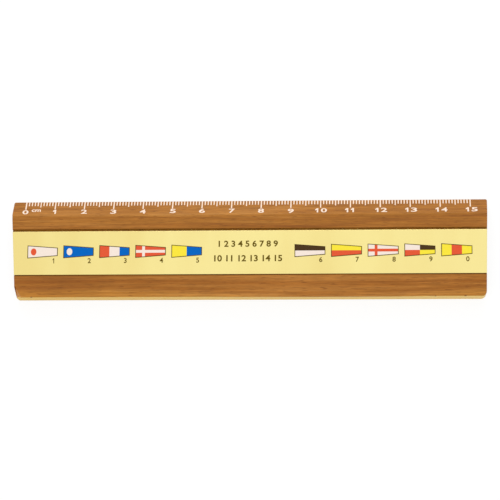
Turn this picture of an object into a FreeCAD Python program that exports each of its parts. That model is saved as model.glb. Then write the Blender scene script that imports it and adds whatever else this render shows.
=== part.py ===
import FreeCAD, Part
import math
import os

# A straight hardwood ruler with a brass strip let into its top, a bevelled edge that carries
# a printed centimetre scale, and ten numeral pennants printed on the brass.
# Everything is in millimetres. +X runs along the scale from 0 to 15, +Y points to the
# bevelled scale edge and +Z is up. The origin is the middle of the flat underside.

# Hardwood bar: a flat rectangle with one long bevel.
body_length = 160.0
body_width = 33.2
body_thickness = 7.0
scale_edge_thickness = 3.8
bevel_run = 5.2

# The ends are sawn a little out of square: how far each end has come in at its front corner,
# and how far the left end, past a soft bend at the crest, has come in again at its back corner.
left_end_setback = 1.5
right_end_setback = 0.6
left_bevel_setback = 0.15
left_bend_radius = 40.0

# Hand-sanded corners, seen from above, and eased arrises.
back_corner_radius = 0.6
front_left_corner_radius = 0.9
front_right_corner_radius = 1.8
top_arris_radius = 0.25
base_arris_radius = 0.3
crest_arris_radius = 0.5
scale_arris_radius = 0.15

# The front left corner is worn away on its top by a slanting facet.
facet_along_end = 4.3
facet_along_front = 2.3
facet_drop = 5.5

# Channel along the top, milled right through both ends, and what is bonded into it.
back_land = 4.75
back_gap = 0.7
strip_width = 14.85
front_gap = 0.25
strip_thickness = 0.8
strip_arris_radius = 0.12
adhesive_thickness = 0.1

# Printed scale on the bevel.
zero_margin = 4.37
least_end_margin = 2.0
mark_pitch = 1.0
marks_per_centimetre = 10
millimetre_mark_length = 1.75
half_centimetre_mark_length = 2.35
centimetre_mark_length = 3.3
fine_mark_width = 0.37
centimetre_mark_width = 0.42
scale_ink_thickness = 0.05

# Numeral pennants printed on the brass: two groups of five beside a space for lettering.
pennant_length = 10.3
pennant_hoist = 4.4
pennant_fly = 2.8
pennant_pitch = 12.2
pennants_per_group = 5
left_group_margin = 5.57
right_group_margin = 5.18
pennant_row_rise = 0.45
outline_width = 0.24
disc_width = 1.9
disc_height = 2.4
disc_offset = 2.1
cross_bar_width = 0.95
cross_bar_offset = 2.8
sign_ink_thickness = 0.05

# How far cutting shapes run past the surface that they cut.
overrun = 5.0

left_end = -body_length / 2
right_end = body_length / 2
front_edge = -body_width / 2
back_edge = body_width / 2
crest_line = back_edge - bevel_run
bevel_rise = body_thickness - scale_edge_thickness
bevel_angle = math.atan2(bevel_rise, bevel_run)
channel_back = crest_line - back_land
strip_back = channel_back - back_gap
strip_front = strip_back - strip_width
channel_front = strip_front - front_gap
channel_floor = body_thickness - strip_thickness - adhesive_thickness
pennant_row = (strip_back + strip_front) / 2 + pennant_row_rise
scale_room = body_length - zero_margin - least_end_margin
centimetre_count = int(scale_room / (mark_pitch * marks_per_centimetre))


def point(x, y, z):
    return FreeCAD.Vector(x, y, z)


def block(x_range, y_range, z_range):
    size = [high - low for low, high in (x_range, y_range, z_range)]
    return Part.makeBox(*size, point(x_range[0], y_range[0], z_range[0]))


def rounding(corner, before, after, radius):
    """Start, middle and end of the arc that rounds a corner between two neighbours."""
    towards_before = (before - corner).normalize()
    towards_after = (after - corner).normalize()
    half_angle = towards_before.getAngle(towards_after) / 2
    reach = radius / math.tan(half_angle)
    inward = (towards_before + towards_after).normalize()
    centre = corner + inward * (radius / math.sin(half_angle))
    return corner + towards_before * reach, centre - inward * radius, corner + towards_after * reach


def rounded_outline(corners, radii):
    """Closed wire through the corners, each rounded by its radius, or left sharp at 0."""
    stops = []
    for place, corner in enumerate(corners):
        if radii[place] == 0:
            stops.append((corner, corner))
            continue
        before = corners[place - 1]
        after = corners[(place + 1) % len(corners)]
        stops.append(rounding(corner, before, after, radii[place]))
    edges = []
    for place, stop in enumerate(stops):
        if len(stop) == 3:
            edges.append(Part.Arc(*stop).toShape())
        edges.append(Part.LineSegment(stop[-1], stops[(place + 1) % len(stops)][0]).toShape())
    return Part.Wire(edges)


def run_along_bar(outline_points, radii):
    """Solid of one cross-section, drawn at the left and run past both ends."""
    start = left_end - overrun
    corners = [point(start, y, z) for y, z in outline_points]
    face = Part.Face(rounded_outline(corners, radii))
    return face.extrude(point(body_length + 2 * overrun, 0, 0))


def sanded_block():
    """Full-thickness block with the plan shape of the ruler and its eased arrises."""
    corners = [
        point(left_end + left_bevel_setback, back_edge, 0),
        point(right_end, back_edge, 0),
        point(right_end - right_end_setback, front_edge, 0),
        point(left_end + left_end_setback, front_edge, 0),
        point(left_end, crest_line, 0),
    ]
    radii = [
        back_corner_radius,
        back_corner_radius,
        front_right_corner_radius,
        front_left_corner_radius,
        left_bend_radius,
    ]
    face = Part.Face(rounded_outline(corners, radii))
    solid = face.extrude(point(0, 0, body_thickness))
    for height, radius in ((body_thickness, top_arris_radius), (0, base_arris_radius)):
        rim = [edge for edge in solid.Edges if lies_at_height(edge, height)]
        solid = solid.makeFillet(radius, rim)
    return solid.cut(worn_corner())


def worn_corner():
    """Pyramid whose slanting side takes the top off the front left corner."""
    corner = point(left_end + left_end_setback, front_edge, body_thickness)
    on_end = corner + point(0, facet_along_end, 0)
    on_front = corner + point(facet_along_front, 0, 0)
    down_corner = corner - point(0, 0, facet_drop)
    outside = corner + point(-overrun, -overrun, overrun)
    base = (on_end, on_front, down_corner)
    sides = [(base[0], base[1], outside), (base[1], base[2], outside), (base[2], base[0], outside)]
    faces = [Part.Face(Part.makePolygon([*side, side[0]])) for side in [base, *sides]]
    return Part.Solid(Part.Shell(faces))


def lies_at_height(edge, height):
    box = edge.BoundBox
    return abs(box.ZMin - height) + abs(box.ZMax - height) < body_thickness / 1000


def wood_bar(outer_block):
    """Bar with its bevel, its soft crest and the channel for the strip."""
    section = [
        (front_edge - overrun, -overrun),
        (back_edge, -overrun),
        (back_edge, scale_edge_thickness),
        (crest_line, body_thickness),
        (channel_back, body_thickness),
        (channel_back, channel_floor),
        (channel_front, channel_floor),
        (channel_front, body_thickness),
        (front_edge - overrun, body_thickness),
    ]
    radii = [0, 0, scale_arris_radius, crest_arris_radius, 0, 0, 0, 0, 0]
    return outer_block.common(run_along_bar(section, radii))


def brass_strip(outer_block):
    """Flat strip with eased long arrises, trimmed with the ends of the bar."""
    low = channel_floor + adhesive_thickness
    section = [
        (strip_front, low),
        (strip_back, low),
        (strip_back, body_thickness),
        (strip_front, body_thickness),
    ]
    radii = [0, 0, strip_arris_radius, strip_arris_radius]
    return outer_block.common(run_along_bar(section, radii))


def adhesive_film(outer_block):
    """Thin bond line that covers the floor of the channel."""
    film = block(
        (left_end - overrun, right_end + overrun),
        (channel_front, channel_back),
        (channel_floor, channel_floor + adhesive_thickness),
    )
    return outer_block.common(film)


def scale_mark(x, length, width):
    """One ink bar on the bevel, square to the scale edge and starting just above its arris."""
    up_slope = point(0, -math.cos(bevel_angle), math.sin(bevel_angle))
    outward = point(0, math.sin(bevel_angle), math.cos(bevel_angle))
    start = scale_arris_radius * math.tan((math.pi / 2 - bevel_angle) / 2)
    foot = point(x - width / 2, back_edge, scale_edge_thickness) + up_slope * start
    side = point(width, 0, 0)
    rise = up_slope * (length - start)
    face = Part.Face(Part.makePolygon([foot, foot + side, foot + side + rise, foot + rise, foot]))
    return face.extrude(outward * scale_ink_thickness)


def scale_marks():
    """All graduations of the scale, sorted by their length."""
    marks = {
        "millimetre_marks": [],
        "half_centimetre_marks": [],
        "centimetre_marks": [],
    }
    for count in range(centimetre_count * marks_per_centimetre + 1):
        x = left_end + zero_margin + count * mark_pitch
        if count % marks_per_centimetre == 0:
            bar = scale_mark(x, centimetre_mark_length, centimetre_mark_width)
            marks["centimetre_marks"].append(bar)
        elif 2 * count % marks_per_centimetre == 0:
            bar = scale_mark(x, half_centimetre_mark_length, fine_mark_width)
            marks["half_centimetre_marks"].append(bar)
        else:
            bar = scale_mark(x, millimetre_mark_length, fine_mark_width)
            marks["millimetre_marks"].append(bar)
    return marks


def pennant_blank(hoist_x, margin):
    """Ink layer of a whole pennant, tapering from hoist to fly, drawn in by a margin."""
    taper = math.atan2((pennant_hoist - pennant_fly) / 2, pennant_length)
    inner_hoist = pennant_hoist / 2 - margin * math.tan(taper) - margin / math.cos(taper)
    inner_fly = pennant_fly / 2 + margin * math.tan(taper) - margin / math.cos(taper)
    hoist = hoist_x + margin
    fly = hoist_x + pennant_length - margin
    corners = [
        point(hoist, pennant_row - inner_hoist, body_thickness),
        point(fly, pennant_row - inner_fly, body_thickness),
        point(fly, pennant_row + inner_fly, body_thickness),
        point(hoist, pennant_row + inner_hoist, body_thickness),
    ]
    face = Part.Face(Part.makePolygon(corners + corners[:1]))
    return face.extrude(point(0, 0, sign_ink_thickness))


def ink_area(x_range, y_range):
    """Block over part of the strip, as thick as the ink, for cutting a pennant into areas."""
    return block(x_range, y_range, (body_thickness, body_thickness + sign_ink_thickness))


def pennant_frame(hoist_x):
    return pennant_blank(hoist_x, 0).cut(pennant_blank(hoist_x, outline_width))


def disc_pennant(hoist_x, field, disc):
    """An upright oval spot near the hoist on a plain field."""
    centre = point(hoist_x + disc_offset, pennant_row, body_thickness)
    top = centre + point(0, disc_height / 2, 0)
    side = centre + point(disc_width / 2, 0, 0)
    rim = Part.Wire(Part.Ellipse(top, side, centre).toShape())
    spot = Part.Face(rim).extrude(point(0, 0, sign_ink_thickness))
    return [(field, pennant_blank(hoist_x, outline_width).cut(spot)), (disc, spot)]


def upright_bands(hoist_x, *colours):
    """Equal bands side by side from the hoist to the fly."""
    blank = pennant_blank(hoist_x, outline_width)
    width = pennant_length / len(colours)
    reach = (pennant_row - pennant_hoist, pennant_row + pennant_hoist)
    areas = []
    for place, colour in enumerate(colours):
        span = (hoist_x + place * width, hoist_x + (place + 1) * width)
        areas.append((colour, blank.common(ink_area(span, reach))))
    return areas


def level_halves(hoist_x, upper, lower):
    """One colour over the other."""
    blank = pennant_blank(hoist_x, outline_width)
    span = (hoist_x, hoist_x + pennant_length)
    top = ink_area(span, (pennant_row, pennant_row + pennant_hoist))
    return [(upper, blank.common(top)), (lower, blank.cut(top))]


def cross_pennant(hoist_x, field, cross):
    """A cross whose upright stands near the hoist and whose arms reach every edge."""
    blank = pennant_blank(hoist_x, outline_width)
    half_bar = cross_bar_width / 2
    upright_x = hoist_x + cross_bar_offset
    reach = (pennant_row - pennant_hoist, pennant_row + pennant_hoist)
    upright = ink_area((upright_x - half_bar, upright_x + half_bar), reach)
    span = (hoist_x, hoist_x + pennant_length)
    arm = ink_area(span, (pennant_row - half_bar, pennant_row + half_bar))
    bars = upright.fuse(arm).removeSplitter()
    return [(field, blank.cut(bars)), (cross, blank.common(bars))]


def quartered_pennant(hoist_x, upper_hoist, upper_fly, lower_hoist, lower_fly):
    """Four areas that meet in the middle."""
    areas = []
    for pair, half in (
        ((upper_hoist, upper_fly), 1),
        ((lower_hoist, lower_fly), -1),
    ):
        far = pennant_row + half * pennant_hoist
        level = (min(pennant_row, far), max(pennant_row, far))
        band = ink_area((hoist_x, hoist_x + pennant_length), level)
        for colour, area in upright_bands(hoist_x, *pair):
            areas.append((colour, area.common(band)))
    return areas


# The common set of numeral pennants, 1 to 5 in the left group and 6 to 0 in the right one.
pennant_designs = (
    (disc_pennant, "white", "red"),
    (disc_pennant, "blue", "white"),
    (upright_bands, "red", "white", "blue"),
    (cross_pennant, "red", "white"),
    (upright_bands, "yellow", "blue"),
    (level_halves, "black", "white"),
    (level_halves, "yellow", "red"),
    (cross_pennant, "white", "red"),
    (quartered_pennant, "white", "black", "red", "yellow"),
    (upright_bands, "yellow", "red", "yellow"),
)


def pennant_inks():
    """The ink areas of all pennants, one list of solids for each colour."""
    inks = {}
    group_length = (pennants_per_group - 1) * pennant_pitch + pennant_length
    group_starts = (left_end + left_group_margin, right_end - right_group_margin - group_length)
    for place, (design, *colours) in enumerate(pennant_designs):
        group, place_in_group = divmod(place, pennants_per_group)
        hoist_x = group_starts[group] + place_in_group * pennant_pitch
        areas = design(hoist_x, *colours)
        areas.append(("outline", pennant_frame(hoist_x)))
        for colour, area in areas:
            inks.setdefault("pennant_" + colour + "_ink", []).extend(area.Solids)
    return inks


def write_nodes(nodes):
    os.makedirs("parts", exist_ok=True)
    for name, solids in nodes.items():
        shape = solids[0] if len(solids) == 1 else Part.makeCompound(solids)
        shape.exportStep("parts/" + name + ".step")


outer_block = sanded_block()
nodes = {
    "wood_bar": wood_bar(outer_block).Solids,
    "brass_strip": brass_strip(outer_block).Solids,
    "adhesive_film": adhesive_film(outer_block).Solids,
}
nodes.update(scale_marks())
nodes.update(pennant_inks())
write_nodes(nodes)
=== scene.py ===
import math

import bmesh
import bpy
from bpy.props import (
    FloatProperty, FloatVectorProperty, IntProperty, PointerProperty, StringProperty,
)
from bpy.types import Operator, Panel, PropertyGroup
from mathutils import Matrix, Vector


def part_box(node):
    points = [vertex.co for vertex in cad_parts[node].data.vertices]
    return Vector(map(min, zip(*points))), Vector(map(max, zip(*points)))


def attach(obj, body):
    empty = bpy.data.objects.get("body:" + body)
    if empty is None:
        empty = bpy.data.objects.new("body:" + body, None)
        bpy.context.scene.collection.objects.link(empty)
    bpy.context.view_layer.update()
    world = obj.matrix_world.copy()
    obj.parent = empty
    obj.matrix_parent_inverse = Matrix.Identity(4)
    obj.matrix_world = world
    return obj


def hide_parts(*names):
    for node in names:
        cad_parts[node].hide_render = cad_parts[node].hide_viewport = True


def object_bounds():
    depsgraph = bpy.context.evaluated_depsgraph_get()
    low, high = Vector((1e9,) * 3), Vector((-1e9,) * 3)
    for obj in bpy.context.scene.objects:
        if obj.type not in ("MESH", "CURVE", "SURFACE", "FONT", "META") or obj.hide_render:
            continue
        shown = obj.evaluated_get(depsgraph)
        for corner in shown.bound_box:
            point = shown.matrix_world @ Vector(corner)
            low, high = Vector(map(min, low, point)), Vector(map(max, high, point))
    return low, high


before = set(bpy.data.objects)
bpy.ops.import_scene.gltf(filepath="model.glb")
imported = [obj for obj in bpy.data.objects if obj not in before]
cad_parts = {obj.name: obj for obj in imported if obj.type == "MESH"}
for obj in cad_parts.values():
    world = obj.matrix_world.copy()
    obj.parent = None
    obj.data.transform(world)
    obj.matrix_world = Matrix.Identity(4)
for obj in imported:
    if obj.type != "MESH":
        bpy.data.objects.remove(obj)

bl_info = {
    "name": "Inlaid desk ruler",
    "version": (1, 0, 0),
    "blender": (4, 5, 0),
    "location": "3D Viewport > Sidebar > Ruler",
    "description": "Dresses a hardwood ruler with a brass inlay: finishes, scale and printing",
    "category": "Object",
}

# The kinds of nodes that the materials use most.
MATH = "ShaderNodeMath"
VECTOR_MATH = "ShaderNodeVectorMath"
MAP_RANGE = "ShaderNodeMapRange"
NOISE = "ShaderNodeTexNoise"
MIX = "ShaderNodeMix"

MM = 0.001
CAD_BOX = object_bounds()
BAR_LOW, BAR_HIGH = (Vector(corner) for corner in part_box("wood_bar"))
STRIP_LOW, STRIP_HIGH = (Vector(corner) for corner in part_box("brass_strip"))
FILM_LOW, FILM_HIGH = (Vector(corner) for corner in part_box("adhesive_film"))
PENNANTS_LOW, PENNANTS_HIGH = (Vector(corner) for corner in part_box("pennant_outline_ink"))
PENNANT_ROW_Y = (PENNANTS_LOW.y + PENNANTS_HIGH.y) / 2
ON_BRASS = Matrix.Translation((0, 0, STRIP_HIGH.z))

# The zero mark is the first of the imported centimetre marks, which are this wide.
PACKED_MARK_WIDTH = 0.42 * MM
ZERO_X = Vector(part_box("centimetre_marks")[0]).x + PACKED_MARK_WIDTH / 2

MARKS_PER_CENTIMETRE = 10
PENNANT_COUNT = 10
PENNANTS_PER_GROUP = 5

# Numbers that are printed a little off their marks: millimetres along the scale and towards
# its edge.
NUMBER_SHIFTS = {
    "1": (-0.07, 0.09), "2": (0.0, 0.09), "5": (0.2, 0.11), "6": (0.07, 0.12),
    "7": (0.15, 0.05), "9": (0.0, -0.18), "10": (-0.13, 0.0), "11": (-0.08, 0.0),
    "14": (0.09, 0.0), "15": (0.12, 0.0),
}

# The figure 1 on the wood and on the brass: its stem's share of its width, and its flag's
# share of its height.
SCALE_ONE = (0.5, 0.24)
PENNANT_ONE = (0.45, 0.15)

# Real sizes of the patterns, in millimetres along the ruler, across it and upwards. Real fibres,
# brushing marks and print mesh are finer: these are drawn as coarse as they need to show.
RINGS = (110, 1.3, 1)
RING_WANDER = (60, 14, 14)
STREAKS = (40, 0.8, 0.8)
FIBRES = (6, 0.36, 0.36)
PORES = (3.4, 0.27, 0.27)
DULL_PATCHES = (16, 60, 60)
BRUSHING = (22, 0.09, 0.09)
GLUE_LUMPS = (2.2, 0.7, 0.7)
PRINT_MOTTLE = (0.6, 0.4, 0.4)

# The tree's pith, across the bar and up from its underside, and how far the rings round it
# wander, in millimetres.
PITH = (-11.5, -46)
RING_SHIFT = 3.5

# Which stretch of the endless noise the rings and the streaks are cut from.
RINGS_PICK = 97.3
STREAKS_PICK = 111.3

# Growth lines of the bar: place across it in millimetres, and tone, where 1 is the plain wood.
GROWTH_LINES = (
    (-17.4, 1.29), (-15.9, 1.22), (-14.9, 0.99), (-14.0, 0.8), (-13.1, 0.95), (-12.5, 0.87),
    (-11.4, 0.7), (-10.5, 0.95), (-9.6, 0.95), (6.8, 0.9), (7.4, 0.88), (8.1, 1.03), (9.3, 1.07),
    (10.0, 0.99), (10.6, 0.97), (11.2, 1.1), (12.6, 1.04), (16.6, 1.02),
)

# Powers of such a tone for red, green and blue: dark lines are redder as well.
DARK_TINT = (0.6, 1.0, 2.0)
PALE_TINT = (0.7, 1.0, 0.85)

# The lines swing along the bar in a long wave: where they come nearest to the front, and how far
# from there to the left and right they are farthest, in millimetres.
WAVE_CREST = 31
HALF_WAVES = (93, 60)

# Lines in front of the first place swing by the first amount, those behind the second place by
# the second, in millimetres.
SWING_PLACES = (-13.4, -11.4)
SWINGS = (1.33, 0.2)

# Dents in the front arris, shown only by painted shade: place along the bar and size, in
# millimetres.
FRONT_DENTS = ((-72.8, 0.45), (62.5, 0.4), (72.4, 0.55))


def linear(hex_colour):
    """Turn an sRGB hex colour into the linear colour that shaders read."""
    shares = [int(hex_colour[place:place + 2], 16) / 255 for place in (0, 2, 4)]
    return [s / 12.92 if s <= 0.04045 else ((s + 0.055) / 1.055) ** 2.4 for s in shares] + [1.0]


def length_property(label, words, millimetres):
    return FloatProperty(name=label, description=words, default=millimetres * MM, unit="LENGTH",
                         precision=5)


def colour_property(label, words, hex_colour):
    return FloatVectorProperty(name=label, description=words, default=linear(hex_colour),
                               subtype="COLOR", size=4, min=0, max=1)


class RulerScaleSizes(PropertyGroup):
    """Sizes of the bevel and of the scale that is printed on it."""
    bevel_run: length_property("Bevel run", "Level distance from the scale edge to the crest", 5.2)
    edge_thickness: length_property("Edge thickness", "Upright height of the scale edge", 3.8)
    mark_clearance: length_property("Mark clearance", "Bare slope between edge and marks", 0.09)
    pitch: length_property("Pitch", "Distance between two neighbouring marks", 1.0)
    centimetres: IntProperty(name="Centimetres", description="Length of the scale", default=15)
    fine_length: length_property("Fine length", "Length of a millimetre mark", 1.75)
    half_length: length_property("Half length", "Length of a half-centimetre mark", 2.35)
    full_length: length_property("Full length", "Length of a centimetre mark", 3.3)
    fine_width: length_property("Fine width", "Width of a millimetre mark", 0.385)
    full_width: length_property("Full width", "Width of a centimetre mark", 0.42)
    ink_thickness: length_property("Ink thickness", "Thickness of the printed layer", 0.04)
    ragged_edge: length_property("Ragged edge", "How far ink edges wander", 0.03)
    numeral_height: length_property("Numeral height", "Height of a number up the slope", 1.85)
    numeral_width: length_property("Numeral width", "Width of a wide figure", 2.05)
    one_width: length_property("One width", "Width of the narrow figure 1", 1.05)
    numeral_top: length_property("Numeral top", "Slope from the edge to the numbers' tops", 3.6)
    figure_gap: length_property("Figure gap", "Gap between the two figures of a number", 0.85)
    pair_reach: length_property("Pair reach", "From a two-figure number's left to its mark", 1.66)
    unit_height: length_property("Unit height", "Height of the unit sign's small letters", 1.1)
    unit_top: length_property("Unit top", "Slope from the edge to the unit sign's top", 3.28)
    unit_width: length_property("Unit width", "Length of the unit sign", 3.15)
    unit_offset: length_property("Unit offset", "From the zero mark to the sign's middle", 3.62)


class RulerPrintSizes(PropertyGroup):
    """Sizes of what is printed on the brass."""
    number_height: length_property("Number height", "Height of the numbers by the pennants", 1.72)
    number_width: length_property("Number width", "Width of one of those figures", 1.12)
    left_inset: length_property("Left inset", "From fly to number's middle, left group", 1.44)
    right_inset: length_property("Right inset", "The same in the right group", 1.54)
    number_drop: length_property("Number drop", "From pennants' middle to numbers' tops", 2.21)
    pennant_length: length_property("Pennant length", "From hoist to fly", 10.3)
    pennant_pitch: length_property("Pennant pitch", "From one hoist to the next", 12.2)
    key_height: length_property("Key height", "Height of the plain number key in the middle", 2.18)
    key_first_width: length_property("First row", "Length of the key's upper row", 19.9)
    key_second_width: length_property("Second row", "Length of the key's lower row", 22.8)
    key_first_y: length_property("First row place", "Its middle above the pennants' middle", 2.43)
    key_second_y: length_property("Second row place", "The same for the lower row", -2.5)
    ink_thickness: length_property("Ink thickness", "Thickness of the printed layer", 0.04)


class RulerColours(PropertyGroup):
    """Colours of the woods, metal and inks."""
    wood_dark: colour_property("Dark grain", "Late wood streaks", "90561F")
    wood_middle: colour_property("Middle grain", "The wood's main colour", "A26623")
    wood_light: colour_property("Light grain", "Early wood streaks", "B87B37")
    wood_pore: colour_property("Pores", "Open pores under the varnish", "6E3C12")
    # The sapwood colours are pale wood lightened further as painted light on the front face.
    sapwood: colour_property("Sapwood", "Pale wood on the front face, at the left", "EDC366")
    sapwood_right: colour_property("Paler sapwood", "The same wood at the right", "EFCA76")
    end_grain: colour_property("End grain", "Tint of the sawn and sealed ends", "C2B8B4")
    # Glue stain in the channel, used also as painted shade next to the channel and on the strip's
    # long sides.
    channel_stain: colour_property("Channel", "Glue-darkened wood in the channel", "8E560E")
    brass: colour_property("Brass", "Lacquered brass", "F4E498")
    # Tarnish colour of the dull patches, used too as painted shade towards the left end.
    brass_dull: colour_property("Dull brass", "Slightly tarnished patches", "EEDA8C")
    adhesive: colour_property("Adhesive", "Amber bond line", "A87015")
    scale_white: colour_property("Scale ink", "Warm white ink on the wood", "FBE4D0")
    sign_white: colour_property("White ink", "White pennant areas", "F7E7DA")
    sign_red: colour_property("Red ink", "Red pennant areas", "E65B38")
    sign_blue: colour_property("Blue ink", "Blue pennant areas", "0066C3")
    sign_yellow: colour_property("Yellow ink", "Yellow pennant areas", "FBE640")
    sign_black: colour_property("Black ink", "Black pennant areas", "4D371E")
    sign_olive: colour_property("Olive ink", "Numbers on the brass", "6A560A")
    sign_line: colour_property("Line ink", "The same ink, laid thicker as lines", "46350A")


class RulerStageSettings(PropertyGroup):
    """Camera and light of the stage."""
    camera_height: FloatProperty(name="Camera height", description="Above the floor",
                                 default=0.65, unit="LENGTH")
    camera_x: FloatProperty(name="Camera X", description="To the right of the middle",
                            default=0.046499, unit="LENGTH")
    camera_y: FloatProperty(name="Camera Y", description="Towards the scale edge",
                            default=-0.108262, unit="LENGTH")
    tilt: FloatProperty(name="Tilt", description="Lean towards the scale edge",
                        default=math.radians(9.492), unit="ROTATION")
    yaw: FloatProperty(name="Yaw", description="Lean towards the left end",
                       default=math.radians(4.0093), unit="ROTATION")
    roll: FloatProperty(name="Roll", description="Turn about the line of sight",
                        default=math.radians(-0.3046), unit="ROTATION")
    lens: FloatProperty(name="Lens", description="Focal length in millimetres", default=140.6)
    daylight: FloatProperty(name="Daylight", description="Strength of the even light all round",
                            default=0.86, min=0)
    softbox_power: FloatProperty(name="Softbox power", description="Watts of the soft lamp",
                                 default=2.4, min=0, unit="POWER")


def output(source):
    """A socket itself, or the first output in use of a node."""
    if isinstance(source, bpy.types.NodeSocket):
        return source
    return next(each for each in source.outputs if each.enabled)


def feed(tree, node, links):
    """Link a node's inputs, by name or place, to sockets or to other nodes' first outputs."""
    for name, source in links.items():
        tree.links.new(output(source), node.inputs[name])


def add(tree, kind, settings=None, links=None):
    """Add a node, set its attributes and then its inputs by name or place, and link its inputs."""
    node = tree.nodes.new(kind)
    inputs = {}
    for name, value in (settings or {}).items():
        if isinstance(name, str) and hasattr(node, name):
            setattr(node, name, value)
        else:
            inputs[name] = value
    for name, value in inputs.items():
        node.inputs[name].default_value = value
    feed(tree, node, links or {})
    return node


def emptied_tree(holder):
    """The node tree of a new material or world, without the nodes that come with it."""
    holder.use_nodes = True
    holder.node_tree.nodes.clear()
    return holder.node_tree


def new_material(name, slot_name):
    """An empty node material with its shader, and the tree to build it in."""
    material = bpy.data.materials.new(name)
    tree = emptied_tree(material)
    shader = add(tree, "ShaderNodeBsdfPrincipled")
    add(tree, "ShaderNodeOutputMaterial", links={"Surface": shader})
    material["slot"] = slot_name
    return material, tree, shader


def stretched(tree, coordinates, sizes):
    """Coordinates in which one unit is as long as the given real sizes in millimetres."""
    scale = [1 / (size * MM) for size in sizes]
    return add(tree, VECTOR_MATH, {"operation": "MULTIPLY", 1: scale}, {0: coordinates})


def growth_rings(tree, place, axes, wander):
    """Noise in rings round the pith, which wander slowly and show as arcs on the ends."""
    pith = (0, PITH[0] * MM, PITH[1] * MM)
    from_pith = add(tree, VECTOR_MATH, {"operation": "SUBTRACT", 1: pith}, {0: place})
    across = add(tree, VECTOR_MATH, {"operation": "MULTIPLY", 1: (0, 1, 1)}, {0: from_pith})
    radius = add(tree, VECTOR_MATH, {"operation": "LENGTH"}, {0: across})
    shift = add(tree, MATH, {"operation": "MULTIPLY_ADD", 1: RING_SHIFT * MM},
                {0: wander, 2: radius})
    ring_place = add(tree, "ShaderNodeCombineXYZ", links={"X": axes.outputs["X"], "Y": shift})
    return add(tree, NOISE,
               {"noise_dimensions": "4D", "W": RINGS_PICK, "Scale": 1.0, "Detail": 3.0,
                "Roughness": 0.55},
               {"Vector": stretched(tree, ring_place, RINGS)})


def grain(tree, colours, place, axes, wander):
    """Colour of the growth bands, with streaks under a millimetre wide along the bar."""
    rings = growth_rings(tree, place, axes, wander)
    streaks = add(tree, NOISE,
                  {"noise_dimensions": "4D", "W": STREAKS_PICK, "Scale": 1.0, "Detail": 3.0,
                   "Roughness": 0.65},
                  {"Vector": stretched(tree, place, STREAKS)})
    tone = add(tree, MIX, {"data_type": "FLOAT", "Factor": 0.45}, {"A": rings, "B": streaks})
    figure = add(tree, "ShaderNodeValToRGB", links={"Fac": tone})
    stops = figure.color_ramp.elements
    stops.new(0.5).color = colours.wood_middle
    stops[0].position, stops[0].color = 0.36, colours.wood_dark
    stops[2].position, stops[2].color = 0.64, colours.wood_light
    return figure


def grain_wave(tree, axes):
    """How far the growth lines swing towards the front face: 1 where they come nearest, right of
    the middle, and -1 where they are farthest, nearer the ends."""
    left_turn, right_turn = (
        add(tree, MAP_RANGE,
            {"clamp": False, "From Min": WAVE_CREST * MM, "From Max": (WAVE_CREST + half) * MM,
             "To Max": math.pi},
            {"Value": axes.outputs["X"]})
        for half in HALF_WAVES
    )
    turn = add(tree, MATH, {"operation": "MAXIMUM"}, {0: left_turn, 1: right_turn})
    return add(tree, MATH, {"operation": "COSINE"}, {0: turn})


def growth_lines(tree, colour, axes, wave):
    """Lighten and darken the wood along the growth lines."""
    swing = add(tree, MAP_RANGE,
                {"From Min": SWING_PLACES[0] * MM, "From Max": SWING_PLACES[1] * MM,
                 "To Min": SWINGS[0] * MM, "To Max": SWINGS[1] * MM},
                {"Value": axes.outputs["Y"]})
    swung = add(tree, MATH, {"operation": "MULTIPLY_ADD"},
                {0: wave, 1: swing, 2: axes.outputs["Y"]})
    first, last = GROWTH_LINES[0][0], GROWTH_LINES[-1][0]
    across = add(tree, MAP_RANGE, {"From Min": first * MM, "From Max": last * MM},
                 {"Value": swung})
    line_tones = add(tree, "ShaderNodeValToRGB", links={"Fac": across})
    stops = line_tones.color_ramp.elements

    # The last line's stop lies a hair inside the end of the ramp.
    stops[1].position = 0.999
    for place, _ in GROWTH_LINES[1:-1]:
        stops.new((place - first) / (last - first))

    # The ramp holds half of each tone, so that its colours stay below 1, and is doubled after it.
    for stop, (_, tone) in zip(stops, GROWTH_LINES):
        powers = DARK_TINT if tone < 1 else PALE_TINT
        stop.color = [tone ** power / 2 for power in powers] + [1]
    doubled = add(tree, VECTOR_MATH, {"operation": "SCALE", "Scale": 2.0}, {0: line_tones})
    return add(tree, VECTOR_MATH, {"operation": "MULTIPLY"}, {0: colour, 1: doubled})


def sapwood_share(tree, axes, wander, wave):
    """Where the wood is pale sapwood, lightened further by painted light on the front face: in
    front of a boundary that starts at the top of the front face, or lower where the growth lines
    come near, and slopes inwards, but hardly at the left end."""
    below_top = add(tree, MATH, {"operation": "SUBTRACT", 0: BAR_HIGH.z}, {1: axes.outputs["Z"]})
    from_front = add(tree, MATH, {"operation": "SUBTRACT", 1: BAR_LOW.y}, {0: axes.outputs["Y"]})
    slant = add(tree, MAP_RANGE, {"To Min": 0.35, "To Max": 0.8}, {"Value": wander})
    from_end = add(tree, MAP_RANGE,
                   {"From Min": BAR_LOW.x, "From Max": BAR_LOW.x + 7 * MM, "To Min": 0.08},
                   {"Value": axes.outputs["X"]})
    slope = add(tree, MATH, {"operation": "MULTIPLY"}, {0: slant, 1: from_end})
    boundary = add(tree, MATH, {"operation": "MULTIPLY"}, {0: below_top, 1: slope})
    dip = add(tree, MAP_RANGE, {"From Min": 0.1, "To Max": 0.5 * MM}, {"Value": wave})
    covered = add(tree, MATH, {"operation": "ADD"}, {0: from_front, 1: dip})
    depth_in = add(tree, MATH, {"operation": "SUBTRACT"}, {0: boundary, 1: covered})
    return add(tree, MAP_RANGE, {"From Min": -0.14 * MM, "From Max": -0.02 * MM},
               {"Value": depth_in})


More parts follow.
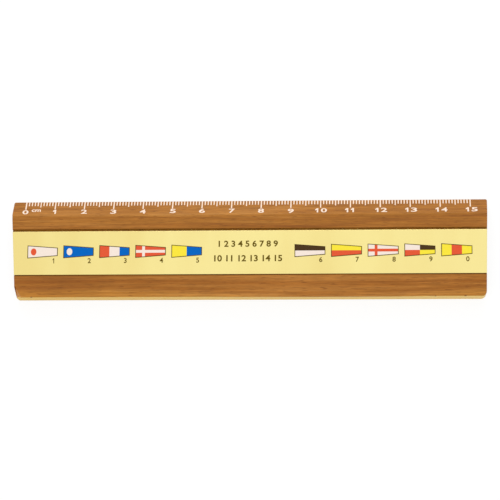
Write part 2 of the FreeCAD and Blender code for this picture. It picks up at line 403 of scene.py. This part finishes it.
def wear(tree, place, end_side, sloped):
    """Tone that lightens the wood: painted light on the ends' arrises and facets that slope
    upwards, which get too little light, and a paler top near the faceted front left corner."""
    # Painted light: facets at the ends that face up and sideways are made lighter.
    end_slopes = add(tree, MATH, {"operation": "MULTIPLY"}, {0: end_side, 1: sloped})
    painted_facet_light = add(tree, MAP_RANGE,
                 {"From Min": 0.4, "From Max": 0.8, "To Min": 1.0, "To Max": 1.15},
                 {"Value": end_slopes})
    corner = (BAR_LOW.x + 2 * MM, BAR_LOW.y, BAR_HIGH.z)
    from_corner = add(tree, VECTOR_MATH, {"operation": "DISTANCE", 1: corner}, {0: place})
    corner_paling = add(tree, MAP_RANGE,
                  {"From Min": 6.5 * MM, "From Max": 11 * MM, "To Min": 1.11, "To Max": 1.0},
                  {"Value": from_corner})
    return add(tree, MATH, {"operation": "MULTIPLY"}, {0: painted_facet_light, 1: corner_paling})


def dirt_share(tree, place):
    """How far painted shade darkens the small dents along the front arris."""
    dent_shade = None
    for x, size in FRONT_DENTS:
        middle = (x * MM, BAR_LOW.y, BAR_HIGH.z - 0.1 * MM)
        apart = add(tree, VECTOR_MATH, {"operation": "DISTANCE", 1: middle}, {0: place})
        dent = add(tree, MAP_RANGE,
                   {"From Min": size * MM, "From Max": size / 3 * MM, "To Max": 0.8},
                   {"Value": apart})
        if dent_shade is not None:
            dent = add(tree, MATH, {"operation": "MAXIMUM"}, {0: dent_shade, 1: dent})
        dent_shade = dent
    return dent_shade


def glue_share(tree, axes):
    """How far glue has darkened the wood all over the walls of the channel, and how far painted
    shade darkens it a little way past the channel's edges, mostly in the left half, to widen the
    gap's dark line."""
    middle = (FILM_LOW.y + FILM_HIGH.y) / 2
    reach = (FILM_HIGH.y - FILM_LOW.y) / 2 + 0.05 * MM
    sideways = add(tree, MATH, {"operation": "COMPARE", 1: middle, 2: reach},
                   {0: axes.outputs["Y"]})
    height = (FILM_LOW.z + BAR_HIGH.z) / 2
    depth = (BAR_HIGH.z - FILM_LOW.z) / 2 - 0.03 * MM
    level = add(tree, MATH, {"operation": "COMPARE", 1: height, 2: depth}, {0: axes.outputs["Z"]})
    inside = add(tree, MATH, {"operation": "MULTIPLY"}, {0: sideways, 1: level})
    off_middle = add(tree, MATH, {"operation": "SUBTRACT", 1: middle}, {0: axes.outputs["Y"]})
    off_side = add(tree, MATH, {"operation": "ABSOLUTE"}, {0: off_middle})
    # Painted shade on the top of the wood next to the channel, stronger at the left, widens the
    # gap's dark line.
    strength = add(tree, MAP_RANGE,
                   {"From Min": -20 * MM, "From Max": 20 * MM, "To Min": 0.7, "To Max": 0.35},
                   {"Value": axes.outputs["X"]})
    beside = add(tree, MAP_RANGE,
                 {"From Min": reach, "From Max": reach + 0.5 * MM, "To Max": 0.0},
                 {"Value": off_side, "To Min": strength})
    above = add(tree, MAP_RANGE,
                {"From Min": FILM_LOW.z - 0.5 * MM, "From Max": FILM_LOW.z},
                {"Value": axes.outputs["Z"]})
    near = add(tree, MATH, {"operation": "MULTIPLY"}, {0: beside, 1: above})
    return add(tree, MATH, {"operation": "MAXIMUM"}, {0: inside, 1: near})


def varnished_hardwood(colours):
    """Oiled brown hardwood under satin varnish: long wavy growth bands, fine fibres and short open
    pores, darker sawn ends, a pale sapwood front brightened with painted light, painted light on
    the ends' sloping facets, painted shade in the front arris dents, and a glue-darkened channel
    with painted shade next to it."""
    material, tree, shader = new_material("varnished hardwood", "varnished_hardwood")
    place = add(tree, "ShaderNodeTexCoord").outputs["Object"]
    axes = add(tree, "ShaderNodeSeparateXYZ", links={"Vector": place})
    normal = add(tree, "ShaderNodeNewGeometry").outputs["Normal"]
    facing = add(tree, "ShaderNodeSeparateXYZ", links={"Vector": normal})
    wander = add(tree, NOISE, {"Scale": 1.0, "Detail": 1.0, "Roughness": 0.5},
                 {"Vector": stretched(tree, place, RING_WANDER)})
    fibres = add(tree, NOISE, {"Scale": 1.0, "Detail": 3.0, "Roughness": 0.6},
                 {"Vector": stretched(tree, place, FIBRES)})
    fibre_tone = add(tree, MAP_RANGE,
                     {"From Min": 0.3, "From Max": 0.7, "To Min": 0.82, "To Max": 1.18},
                     {"Value": fibres})
    figured = add(tree, VECTOR_MATH, {"operation": "SCALE"},
                  {0: grain(tree, colours, place, axes, wander), "Scale": fibre_tone})

    # Pores are dark dashes a few millimetres long.
    pore_noise = add(tree, NOISE, {"Scale": 1.0, "Detail": 1.0, "Roughness": 0.5},
                     {"Vector": stretched(tree, place, PORES)})
    pores = add(tree, MAP_RANGE, {"From Min": 0.61, "From Max": 0.72, "To Max": 0.6},
                {"Value": pore_noise})
    pored = add(tree, MIX, {"data_type": "RGBA", "B": colours.wood_pore},
                {"Factor": pores, "A": figured})
    wave = grain_wave(tree, axes)
    end_side = add(tree, MATH, {"operation": "ABSOLUTE"}, {0: facing.outputs["X"]})
    sloped = add(tree, MATH, {"operation": "GREATER_THAN", 1: 0.1}, {0: facing.outputs["Z"]})
    # Painted light lightens the upward-facing facets of the ends; the top near the front left
    # corner is paler.
    heartwood = add(tree, VECTOR_MATH, {"operation": "SCALE"},
                    {0: growth_lines(tree, pored, axes, wave),
                     "Scale": wear(tree, place, end_side, sloped)})

    # Sapwood shows its fibres faintly, and pales towards the right. Its colours are also lighter
    # as painted light on the front face.
    rightward = add(tree, MAP_RANGE, {"From Min": BAR_LOW.x, "From Max": BAR_HIGH.x},
                    {"Value": axes.outputs["X"]})
    sap_and_front_light = add(tree, MIX,
              {"data_type": "RGBA", "A": colours.sapwood, "B": colours.sapwood_right},
              {"Factor": rightward})
    sapwood = add(tree, VECTOR_MATH, {"operation": "SCALE"}, {0: sap_and_front_light, "Scale": fibre_tone})
    wood = add(tree, MIX, {"data_type": "RGBA"},
               {"Factor": sapwood_share(tree, axes, wander, wave), "A": heartwood, "B": sapwood})

    # The upright sawn ends drink more varnish, so they are darker.
    sawn = add(tree, MAP_RANGE, {"From Min": 0.88, "From Max": 0.95}, {"Value": end_side})
    upright = add(tree, MATH, {"operation": "SUBTRACT", 0: 1}, {1: sloped})
    ends = add(tree, MATH, {"operation": "MULTIPLY"}, {0: sawn, 1: upright})
    surface = add(tree, MIX,
                  {"data_type": "RGBA", "blend_type": "MULTIPLY", "B": colours.end_grain},
                  {"Factor": ends, "A": wood})
    # Painted shade darkens the dents of the front arris; glue stain and painted shade darken the
    # channel and its edges.
    for share, stain in (
        (dirt_share(tree, place), colours.wood_pore),
        (glue_share(tree, axes), colours.channel_stain),
    ):
        surface = add(tree, MIX, {"data_type": "RGBA", "B": stain},
                      {"Factor": share, "A": surface})

    relief = add(tree, MATH, {"operation": "MULTIPLY_ADD", 1: -1.4}, {0: pores, 2: fibres})
    bump = add(tree, "ShaderNodeBump", {"Strength": 0.25, "Distance": 0.03 * MM},
               {"Height": relief})
    sheen = add(tree, MAP_RANGE, {"To Min": 0.45, "To Max": 0.65}, {"Value": fibres})
    feed(tree, shader, {"Base Color": surface, "Roughness": sheen, "Normal": bump})
    shader.inputs["Specular IOR Level"].default_value = 0.2
    return material


def lacquered_brass(colours):
    """Cold-rolled brass sheet, brushed lengthwise and lacquered: a pale even yellow with faint
    dull patches, painted shade that dulls it more towards the left end, and hairlines that soften
    its reflections."""
    material, tree, shader = new_material("lacquered brass", "lacquered_brass")
    place = add(tree, "ShaderNodeTexCoord").outputs["Object"]
    axes = add(tree, "ShaderNodeSeparateXYZ", links={"Vector": place})
    patches = add(tree, NOISE, {"Scale": 1.0, "Detail": 3.0, "Roughness": 0.5},
                  {"Vector": stretched(tree, place, DULL_PATCHES)})
    # Painted shade: the brass darkens towards the left end, where less light falls.
    painted_left_shade = add(tree, MAP_RANGE,
                   {"From Min": -30 * MM, "From Max": STRIP_LOW.x, "To Max": 0.28},
                   {"Value": axes.outputs["X"]})
    uneven = add(tree, MATH, {"operation": "ADD"}, {0: patches, 1: painted_left_shade})
    dull = add(tree, MAP_RANGE, {"From Min": 0.42, "From Max": 0.8}, {"Value": uneven})
    metal = add(tree, MIX,
                {"data_type": "RGBA", "A": colours.brass, "B": colours.brass_dull},
                {"Factor": dull})

    # Adhesive film on the long sides, with painted shade of the narrow gap: they take the
    # channel's dark colour and lose the metal.
    normal = add(tree, "ShaderNodeNewGeometry").outputs["Normal"]
    facing = add(tree, "ShaderNodeSeparateXYZ", links={"Vector": normal})
    sideways = add(tree, MATH, {"operation": "ABSOLUTE"}, {0: facing.outputs["Y"]})
    side = add(tree, MAP_RANGE, {"From Min": 0.35, "From Max": 0.8}, {"Value": sideways})
    filmed_and_shaded = add(tree, MIX, {"data_type": "RGBA", "B": colours.channel_stain},
                  {"Factor": side, "A": metal})
    bare = add(tree, MATH, {"operation": "SUBTRACT", 0: 1}, {1: side})

    hairlines = add(tree, NOISE, {"Scale": 1.0, "Detail": 2.0, "Roughness": 0.6},
                    {"Vector": stretched(tree, place, BRUSHING)})
    sheen = add(tree, MAP_RANGE, {"To Min": 0.28, "To Max": 0.42}, {"Value": hairlines})
    bump = add(tree, "ShaderNodeBump", {"Strength": 0.12, "Distance": 0.01 * MM},
               {"Height": hairlines})
    feed(tree, shader, {"Base Color": filmed_and_shaded, "Metallic": bare, "Roughness": sheen,
                        "Normal": bump})
    return material


def amber_adhesive(colours):
    """Contact adhesive that has cured dark amber, with a glossy uneven skin."""
    material, tree, shader = new_material("cured amber adhesive", "amber_adhesive")
    place = add(tree, "ShaderNodeTexCoord").outputs["Object"]
    lumps = add(tree, NOISE, {"Scale": 1.0, "Detail": 2.0},
                {"Vector": stretched(tree, place, GLUE_LUMPS)})
    tone = add(tree, MAP_RANGE, {"To Min": 0.6, "To Max": 1.4}, {"Value": lumps})
    toned = add(tree, VECTOR_MATH, {"operation": "SCALE", 0: colours.adhesive[:3]},
                {"Scale": tone})
    bump = add(tree, "ShaderNodeBump", {"Strength": 0.4, "Distance": 0.08 * MM}, {"Height": lumps})
    feed(tree, shader, {"Base Color": toned, "Normal": bump})
    shader.inputs["Roughness"].default_value = 0.4
    shader.inputs["Specular IOR Level"].default_value = 0.15
    return material


def printing_ink(name, slot_name, colour, cover):
    """Screen-printing ink: flat colour with a fine mottle where the mesh laid it down thinner.
    A lower cover gives a stronger mottle."""
    material, tree, shader = new_material(name, slot_name)
    place = add(tree, "ShaderNodeTexCoord").outputs["Object"]
    mottle = add(tree, NOISE, {"Scale": 1.0, "Detail": 2.0, "Roughness": 0.6},
                 {"Vector": stretched(tree, place, PRINT_MOTTLE)})
    tone = add(tree, MAP_RANGE,
               {"From Min": 0.3, "From Max": 0.7, "To Min": cover, "To Max": 1.0},
               {"Value": mottle})
    toned = add(tree, VECTOR_MATH, {"operation": "SCALE", 0: colour[:3]}, {"Scale": tone})
    bump = add(tree, "ShaderNodeBump", {"Strength": 0.15, "Distance": 0.01 * MM},
               {"Height": mottle})
    feed(tree, shader, {"Base Color": toned, "Normal": bump})
    shader.inputs["Roughness"].default_value = 0.6
    shader.inputs["Specular IOR Level"].default_value = 0.06
    return material


def shared_ink(name, slot_name, colour, cover):
    """The ink of this name, mixed once for all the pieces that are printed with it."""
    return bpy.data.materials.get(name) or printing_ink(name, slot_name, colour, cover)


def olive_ink(colours):
    """Ink of every number on the brass."""
    return shared_ink("olive screen ink", "olive_sign_ink", colours.sign_olive, 0.85)


def white_scale_ink(colours):
    """Ink of the marks and numbers on the bevel."""
    return shared_ink("warm white scale ink", "white_scale_ink", colours.scale_white, 0.9)


def dress_node(node, material):
    """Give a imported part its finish."""
    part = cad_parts[node]
    part.data.materials.clear()
    part.data.materials.append(material)


def new_piece(name, mesh, material):
    """A finished piece at the origin that rides on the ruler."""
    mesh.materials.clear()
    mesh.materials.append(material)
    piece = bpy.data.objects.new(name, mesh)
    bpy.context.scene.collection.objects.link(piece)
    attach(piece, "root")
    return piece


def bevel_frame(sizes):
    """Matrix from the flat print to the bevel: x runs along the scale, y down the slope to the
    scale edge, where it is 0, and z out of the paint."""
    rise = BAR_HIGH.z - sizes.edge_thickness
    along = Vector((1, 0, 0))
    down_slope = Vector((0, sizes.bevel_run, -rise)).normalized()
    turn = Matrix((along, down_slope, along.cross(down_slope))).transposed().to_4x4()
    return Matrix.Translation((0, BAR_HIGH.y, sizes.edge_thickness)) @ turn


def graduation_tree():
    """Geometry nodes that lay out ink bars of three lengths at an even pitch."""
    tree = bpy.data.node_groups.new("graduations", "GeometryNodeTree")
    sockets = tree.interface
    sockets.new_socket("Count", in_out="INPUT", socket_type="NodeSocketInt")
    for label in ("Pitch", "Fine Length", "Half Length", "Full Length", "Fine Width",
                  "Full Width", "Thickness", "Ragged Edge"):
        sockets.new_socket(label, in_out="INPUT", socket_type="NodeSocketFloat")
    sockets.new_socket("Ink", in_out="INPUT", socket_type="NodeSocketMaterial")
    sockets.new_socket("Geometry", in_out="OUTPUT", socket_type="NodeSocketGeometry")
    given = add(tree, "NodeGroupInput").outputs
    step = add(tree, "ShaderNodeCombineXYZ", links={"X": given["Pitch"]})
    row = add(tree, "GeometryNodeMeshLine", {"mode": "OFFSET"},
              {"Count": given["Count"], "Offset": step})

    # A block of unit size that starts at its point, runs up the slope and stands on the wood.
    block = add(tree, "GeometryNodeMeshCube",
                {"Size": (1, 1, 1), "Vertices X": 3, "Vertices Y": 9, "Vertices Z": 2})
    seated = add(tree, "GeometryNodeTransform", {"Translation": (0, -0.5, 0.5)},
                 {"Geometry": block})
    index = add(tree, "GeometryNodeInputIndex")
    is_full, is_half = (
        add(tree, "FunctionNodeCompare",
            {"data_type": "FLOAT", "operation": "LESS_THAN", "B": 0.5},
            {"A": add(tree, MATH, {"operation": "MODULO", 1: every}, {0: index})})
        for every in (MARKS_PER_CENTIMETRE, MARKS_PER_CENTIMETRE / 2)
    )
    short = add(tree, "GeometryNodeSwitch", {"input_type": "FLOAT"},
                {"Switch": is_half, "False": given["Fine Length"], "True": given["Half Length"]})
    length = add(tree, "GeometryNodeSwitch", {"input_type": "FLOAT"},
                 {"Switch": is_full, "False": short, "True": given["Full Length"]})
    width = add(tree, "GeometryNodeSwitch", {"input_type": "FLOAT"},
                {"Switch": is_full, "False": given["Fine Width"], "True": given["Full Width"]})

    # Some marks were pressed wider than others, and their edges wander every 0.4 mm or so, less
    # along the mark than across it, and never out of the paint.
    pressed = add(tree, "FunctionNodeRandomValue",
                  {"data_type": "FLOAT", "Min": 0.9, "Max": 1.08, "Seed": 7})
    spread = add(tree, MATH, {"operation": "MULTIPLY"}, {0: width, 1: pressed})
    size = add(tree, "ShaderNodeCombineXYZ",
               links={"X": spread, "Y": length, "Z": given["Thickness"]})
    bars = add(tree, "GeometryNodeInstanceOnPoints",
               links={"Points": row, "Instance": seated, "Scale": size})
    solid = add(tree, "GeometryNodeRealizeInstances", links={"Geometry": bars})
    noise = add(tree, NOISE, {"Scale": 2400.0, "Detail": 1.0})
    centred = add(tree, VECTOR_MATH, {"operation": "SUBTRACT", 1: (0.5, 0.5, 0.5)},
                  {0: noise.outputs["Color"]})
    flat = add(tree, VECTOR_MATH, {"operation": "MULTIPLY", 1: (1, 0.6, 0)}, {0: centred})
    offset = add(tree, VECTOR_MATH, {"operation": "SCALE"},
                 {0: flat, "Scale": given["Ragged Edge"]})
    ragged = add(tree, "GeometryNodeSetPosition", links={"Geometry": solid, "Offset": offset})
    inked = add(tree, "GeometryNodeSetMaterial",
                links={"Geometry": ragged, "Material": given["Ink"]})
    add(tree, "NodeGroupOutput", links={"Geometry": inked})
    return tree


def mesh_from_tree(tree, values):
    """Run a geometry node tree once and return its result as a plain mesh."""
    holder = bpy.data.objects.new(tree.name, bpy.data.meshes.new(tree.name))
    bpy.context.scene.collection.objects.link(holder)
    modifier = holder.modifiers.new(tree.name, "NODES")
    modifier.node_group = tree
    for item in tree.interface.items_tree:
        if item.in_out == "INPUT":
            modifier[item.identifier] = values[item.name]
    made = holder.evaluated_get(bpy.context.evaluated_depsgraph_get())
    mesh = bpy.data.meshes.new_from_object(made)
    bpy.data.objects.remove(holder)
    return mesh


def collected(name, collector):
    """The mesh of everything that a collector holds."""
    mesh = bpy.data.meshes.new(name)
    collector.to_mesh(mesh)
    collector.free()
    return mesh


def figure_one(stem, flag):
    """The figure 1, one unit wide, high and thick: a stem of this share of its width, and on its
    left a slanting flag of this share of its height."""
    side = 1 - stem
    lean = 0.05
    flag_tip = 0.74
    flag_root = 0.86
    outline = ((side, 0), (1, 0), (1, 1), (side + lean, 1), (0, flag_tip), (0, flag_tip - flag),
               (side, flag_root - flag))
    shell = bmesh.new()
    low, high = ([shell.verts.new((x, y, z)) for x, y in outline] for z in (-0.5, 0.5))
    shell.faces.new(reversed(low))
    shell.faces.new(high)
    for wall in zip(low, low[1:] + low[:1], high[1:] + high[:1], high):
        shell.faces.new(wall)
    return collected("figures", shell)


def figures(words, weight):
    """Flat lettering, one unit thick about its own plane, as a closed mesh. Weights above 0.026
    would make the outlines of some figures cross themselves."""
    curve = bpy.data.curves.new("figures", "FONT")
    curve.body = words
    curve.size = 1.0
    curve.offset = weight
    curve.extrude = 0.5
    curve.resolution_u = 4
    curve.align_x = "CENTER"
    writer = bpy.data.objects.new("figures", curve)
    bpy.context.scene.collection.objects.link(writer)
    made = writer.evaluated_get(bpy.context.evaluated_depsgraph_get())
    mesh = bpy.data.meshes.new_from_object(made)
    bpy.data.objects.remove(writer)
    bpy.data.curves.remove(curve)
    shell = bmesh.new()
    shell.from_mesh(mesh)
    bmesh.ops.remove_doubles(shell, verts=shell.verts, dist=0.0005)
    bmesh.ops.recalc_face_normals(shell, faces=shell.faces)
    shell.to_mesh(mesh)
    shell.free()
    return mesh


def span(mesh, axis):
    """Lowest and highest place of a mesh along one axis."""
    values = [corner.co[axis] for corner in mesh.vertices]
    return min(values), max(values)


def put_label(collector, mesh, size, middle, thickness, plane):
    """Add lettering of a given width and height that stands on a plane, centred on a point."""
    (left, right), (low, high) = span(mesh, 0), span(mesh, 1)
    width, height = size
    standing = Matrix.Translation((-(left + right) / 2, -(low + high) / 2, 0.5))
    resize = Matrix.Diagonal((width / (right - left), height / (high - low), thickness, 1))
    mesh.transform(plane @ Matrix.Translation((*middle, 0)) @ resize @ standing)
    collector.from_mesh(mesh)
    bpy.data.meshes.remove(mesh)


def label_width(words, weight, figure_width):
    """Width of a label when its figure 0 is as wide as asked."""
    widths = []
    for each in ("0", words):
        mesh = figures(each, weight)
        low, high = span(mesh, 0)
        widths.append(high - low)
        bpy.data.meshes.remove(mesh)
    return figure_width * widths[1] / widths[0]


class RULER_OT_stage(Operator):
    """Set up the pale floor, the soft light and the camera"""
    bl_idname = "ruler.stage"
    bl_label = "Stage"

    def execute(self, context):
        settings = context.scene.ruler_stage
        self.white_world(context.scene, settings.daylight)
        self.white_floor()
        self.softbox(settings.softbox_power)
        lens = bpy.data.cameras.new("camera")
        lens.lens = settings.lens
        lens.clip_start = 0.01
        camera = bpy.data.objects.new("camera", lens)
        camera.location = (settings.camera_x, settings.camera_y, settings.camera_height)
        camera.rotation_mode = "ZYX"
        camera.rotation_euler = (settings.tilt, settings.yaw, settings.roll)
        context.scene.collection.objects.link(camera)
        context.scene.camera = camera
        context.scene.view_settings.view_transform = "Standard"
        return {"FINISHED"}

    @staticmethod
    def seen_directly(tree):
        """1 for rays that show the background itself, 0 for rays that carry its light."""
        rays = add(tree, "ShaderNodeLightPath").outputs
        glossy = add(tree, MATH, {"operation": "MAXIMUM"},
                     {0: rays["Is Camera Ray"], 1: rays["Is Glossy Ray"]})
        return add(tree, MATH, {"operation": "MAXIMUM"},
                   {0: glossy, 1: rays["Is Transmission Ray"]})

    def white_world(self, scene, daylight):
        """An even light all round that is plain white where it is seen."""
        world = bpy.data.worlds.new("white room")
        tree = emptied_tree(world)
        strength = add(tree, MAP_RANGE, {"To Min": daylight, "To Max": 1.0},
                       {"Value": self.seen_directly(tree)})
        glow = add(tree, "ShaderNodeBackground", {"Color": (1, 1, 1, 1)}, {"Strength": strength})
        add(tree, "ShaderNodeOutputWorld", links={"Surface": glow})
        scene.world = world

    def white_floor(self):
        """White paper that keeps the ruler's shadow: seen directly, most of it glows, and a
        small share shows the light and shade. It lies just below the ruler, not in its face."""
        half_side = 3.0
        clearance = 0.02 * MM
        paper_tone = 0.82
        shadow_share = 0.16
        sheet = bmesh.new()
        bmesh.ops.create_grid(sheet, x_segments=1, y_segments=1, size=half_side)
        mesh = collected("floor", sheet)
        mesh.transform(Matrix.Translation((0, 0, CAD_BOX[0][2] - clearance)))
        material = bpy.data.materials.new("white paper")
        tree = emptied_tree(material)
        paper = add(tree, "ShaderNodeBsdfDiffuse",
                    {"Color": (paper_tone, paper_tone, paper_tone, 1)})
        glow = add(tree, "ShaderNodeEmission", {"Color": (1, 1, 1, 1), "Strength": 0.87})
        dim = add(tree, "ShaderNodeBsdfDiffuse",
                  {"Color": (shadow_share, shadow_share, shadow_share, 1)})
        bright = add(tree, "ShaderNodeAddShader", links={0: glow, 1: dim})
        surface = add(tree, "ShaderNodeMixShader",
                      links={0: self.seen_directly(tree), 1: paper, 2: bright})
        add(tree, "ShaderNodeOutputMaterial", links={"Surface": surface})
        mesh.materials.append(material)
        floor = bpy.data.objects.new("floor", mesh)
        bpy.context.scene.collection.objects.link(floor)

    def softbox(self, power):
        """A soft lamp behind and above the ruler that points at it."""
        lamp = bpy.data.lights.new("softbox", "AREA")
        lamp.shape = "RECTANGLE"
        lamp.size = 0.5
        lamp.size_y = 0.4
        lamp.energy = power
        source = bpy.data.objects.new("softbox", lamp)
        source.location = (0, 0.7, 0.5)
        source.rotation_euler = Vector(source.location).to_track_quat("Z", "Y").to_euler()
        bpy.context.scene.collection.objects.link(source)


class RULER_OT_wood_bar(Operator):
    """Finish the bar in varnished hardwood and the bond line in dark amber"""
    bl_idname = "ruler.wood_bar"
    bl_label = "Wood bar"

    def execute(self, context):
        colours = context.scene.ruler_colours
        dress_node("wood_bar", varnished_hardwood(colours))
        dress_node("adhesive_film", amber_adhesive(colours))
        return {"FINISHED"}


class RULER_OT_brass_strip(Operator):
    """Finish the strip in brushed and lacquered brass"""
    bl_idname = "ruler.brass_strip"
    bl_label = "Brass strip"

    def execute(self, context):
        dress_node("brass_strip", lacquered_brass(context.scene.ruler_colours))
        return {"FINISHED"}


class RULER_OT_pennant_inks(Operator):
    """Give each ink of the pennants its colour"""
    bl_idname = "ruler.pennant_inks"
    bl_label = "Pennant inks"

    def execute(self, context):
        colours = context.scene.ruler_colours
        for ink, cover in (("white", 0.95), ("red", 0.92), ("blue", 0.9), ("yellow", 0.95),
                           ("black", 0.85)):
            material = printing_ink(ink + " screen ink", ink + "_sign_ink",
                                    getattr(colours, "sign_" + ink), cover)
            dress_node("pennant_" + ink + "_ink", material)
        lines = printing_ink("thick olive screen ink", "olive_sign_ink", colours.sign_line, 0.9)
        dress_node("pennant_outline_ink", lines)
        return {"FINISHED"}


class RULER_OT_graduations(Operator):
    """Print the millimetre, half-centimetre and centimetre marks on the bevel"""
    bl_idname = "ruler.graduations"
    bl_label = "Graduations"

    def execute(self, context):
        sizes = context.scene.ruler_scale
        ink = white_scale_ink(context.scene.ruler_colours)
        mesh = mesh_from_tree(graduation_tree(), {
            "Count": sizes.centimetres * MARKS_PER_CENTIMETRE + 1,
            "Pitch": sizes.pitch,
            "Fine Length": sizes.fine_length - sizes.mark_clearance,
            "Half Length": sizes.half_length - sizes.mark_clearance,
            "Full Length": sizes.full_length - sizes.mark_clearance,
            "Fine Width": sizes.fine_width,
            "Full Width": sizes.full_width,
            "Thickness": sizes.ink_thickness,
            "Ragged Edge": sizes.ragged_edge,
            "Ink": ink,
        })
        mesh.transform(bevel_frame(sizes) @ Matrix.Translation((ZERO_X, -sizes.mark_clearance, 0)))
        piece = new_piece("graduation_marks", mesh, ink)
        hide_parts("millimetre_marks", "half_centimetre_marks", "centimetre_marks")
        return {"FINISHED"}


class RULER_OT_scale_numbers(Operator):
    """Print the numbers and the unit sign of the scale on the bevel"""
    bl_idname = "ruler.scale_numbers"
    bl_label = "Scale numbers"
    weight: FloatProperty(name="Weight", description="Stoutness of the figures", default=0.022)

    def execute(self, context):
        sizes = context.scene.ruler_scale
        on_bevel = bevel_frame(sizes)
        labels = bmesh.new()
        y_middle = -(sizes.numeral_top + sizes.numeral_height / 2)
        for centimetre in range(sizes.centimetres + 1):
            words = str(centimetre)
            widths = [sizes.one_width if each == "1" else sizes.numeral_width for each in words]
            along, up = (shift * MM for shift in NUMBER_SHIFTS.get(words, (0, 0)))
            left = ZERO_X + centimetre * sizes.pitch * MARKS_PER_CENTIMETRE + along
            left -= sizes.pair_reach if len(words) > 1 else widths[0] / 2
            for each, width in zip(words, widths):
                figure = figure_one(*SCALE_ONE) if each == "1" else figures(each, self.weight)
                put_label(labels, figure, (width, sizes.numeral_height),
                          (left + width / 2, y_middle + up), sizes.ink_thickness, on_bevel)
                left += width + sizes.figure_gap
        unit_y = -(sizes.unit_top + sizes.unit_height / 2)
        put_label(labels, figures("cm", self.weight), (sizes.unit_width, sizes.unit_height),
                  (ZERO_X + sizes.unit_offset, unit_y), sizes.ink_thickness, on_bevel)
        new_piece("scale_numbers", collected("scale_numbers", labels),
                  white_scale_ink(context.scene.ruler_colours))
        return {"FINISHED"}


class RULER_OT_pennant_numbers(Operator):
    """Print each pennant's number under its fly"""
    bl_idname = "ruler.pennant_numbers"
    bl_label = "Pennant numbers"
    weight: FloatProperty(name="Weight", description="Stoutness of the figures", default=0.02)

    def execute(self, context):
        sizes = context.scene.ruler_print
        labels = bmesh.new()
        y = PENNANT_ROW_Y - sizes.number_drop - sizes.number_height / 2
        first_fly = PENNANTS_LOW.x + sizes.pennant_length
        last_fly = PENNANTS_HIGH.x
        for place in range(PENNANT_COUNT):
            group, step = divmod(place, PENNANTS_PER_GROUP)
            if group == 0:
                middle_x = first_fly + step * sizes.pennant_pitch - sizes.left_inset
            else:
                steps_back = PENNANTS_PER_GROUP - 1 - step
                middle_x = last_fly - steps_back * sizes.pennant_pitch - sizes.right_inset

            # The last pennant stands for 0.
            words = str((place + 1) % PENNANT_COUNT)
            if words == "1":
                width = sizes.number_width / 2
                figure = figure_one(*PENNANT_ONE)
            else:
                width = label_width(words, self.weight, sizes.number_width)
                figure = figures(words, self.weight)
            put_label(labels, figure, (width, sizes.number_height),
                      (middle_x, y), sizes.ink_thickness, ON_BRASS)
        new_piece("pennant_numbers", collected("pennant_numbers", labels),
                  olive_ink(context.scene.ruler_colours))
        return {"FINISHED"}


class RULER_OT_number_key(Operator):
    """Print two rows of plain numbers between the groups of pennants"""
    bl_idname = "ruler.number_key"
    bl_label = "Number key"
    first_row: StringProperty(name="First row", description="Upper row",
                              default="1 2 3 4 5 6 7 8 9")
    second_row: StringProperty(name="Second row", description="Lower row",
                               default="10 11 12 13 14 15")
    weight: FloatProperty(name="Weight", description="Stoutness of the figures", default=0.026)

    def execute(self, context):
        sizes = context.scene.ruler_print
        rows = bmesh.new()
        middle_x = (PENNANTS_LOW.x + PENNANTS_HIGH.x) / 2
        for words, width, y in (
            (self.first_row, sizes.key_first_width, sizes.key_first_y),
            (self.second_row, sizes.key_second_width, sizes.key_second_y),
        ):
            put_label(rows, figures(words, self.weight), (width, sizes.key_height),
                      (middle_x, PENNANT_ROW_Y + y), sizes.ink_thickness, ON_BRASS)
        new_piece("number_key", collected("number_key", rows),
                  olive_ink(context.scene.ruler_colours))
        return {"FINISHED"}


OPERATORS = (
    RULER_OT_stage,
    RULER_OT_wood_bar,
    RULER_OT_brass_strip,
    RULER_OT_pennant_inks,
    RULER_OT_graduations,
    RULER_OT_scale_numbers,
    RULER_OT_pennant_numbers,
    RULER_OT_number_key,
)


class RULER_PT_panel(Panel):
    """Lists the steps that dress the ruler"""
    bl_label = "Ruler"
    bl_idname = "RULER_PT_panel"
    bl_space_type = "VIEW_3D"
    bl_region_type = "UI"
    bl_category = "Ruler"

    def draw(self, context):
        for step in OPERATORS:
            self.layout.operator(step.bl_idname)


GROUPS = {
    "ruler_scale": RulerScaleSizes,
    "ruler_print": RulerPrintSizes,
    "ruler_colours": RulerColours,
    "ruler_stage": RulerStageSettings,
}


def register():
    for each in (*GROUPS.values(), *OPERATORS, RULER_PT_panel):
        bpy.utils.register_class(each)
    for name, group in GROUPS.items():
        setattr(bpy.types.Scene, name, PointerProperty(type=group))


def unregister():
    for name in GROUPS:
        delattr(bpy.types.Scene, name)
    for each in reversed((*GROUPS.values(), *OPERATORS, RULER_PT_panel)):
        bpy.utils.unregister_class(each)


def main():
    register()
    bpy.ops.ruler.stage()
    bpy.ops.ruler.wood_bar()
    bpy.ops.ruler.brass_strip()
    bpy.ops.ruler.pennant_inks()
    bpy.ops.ruler.graduations()
    bpy.ops.ruler.scale_numbers()
    bpy.ops.ruler.pennant_numbers()
    bpy.ops.ruler.number_key()


if __name__ == "__main__":
    main()
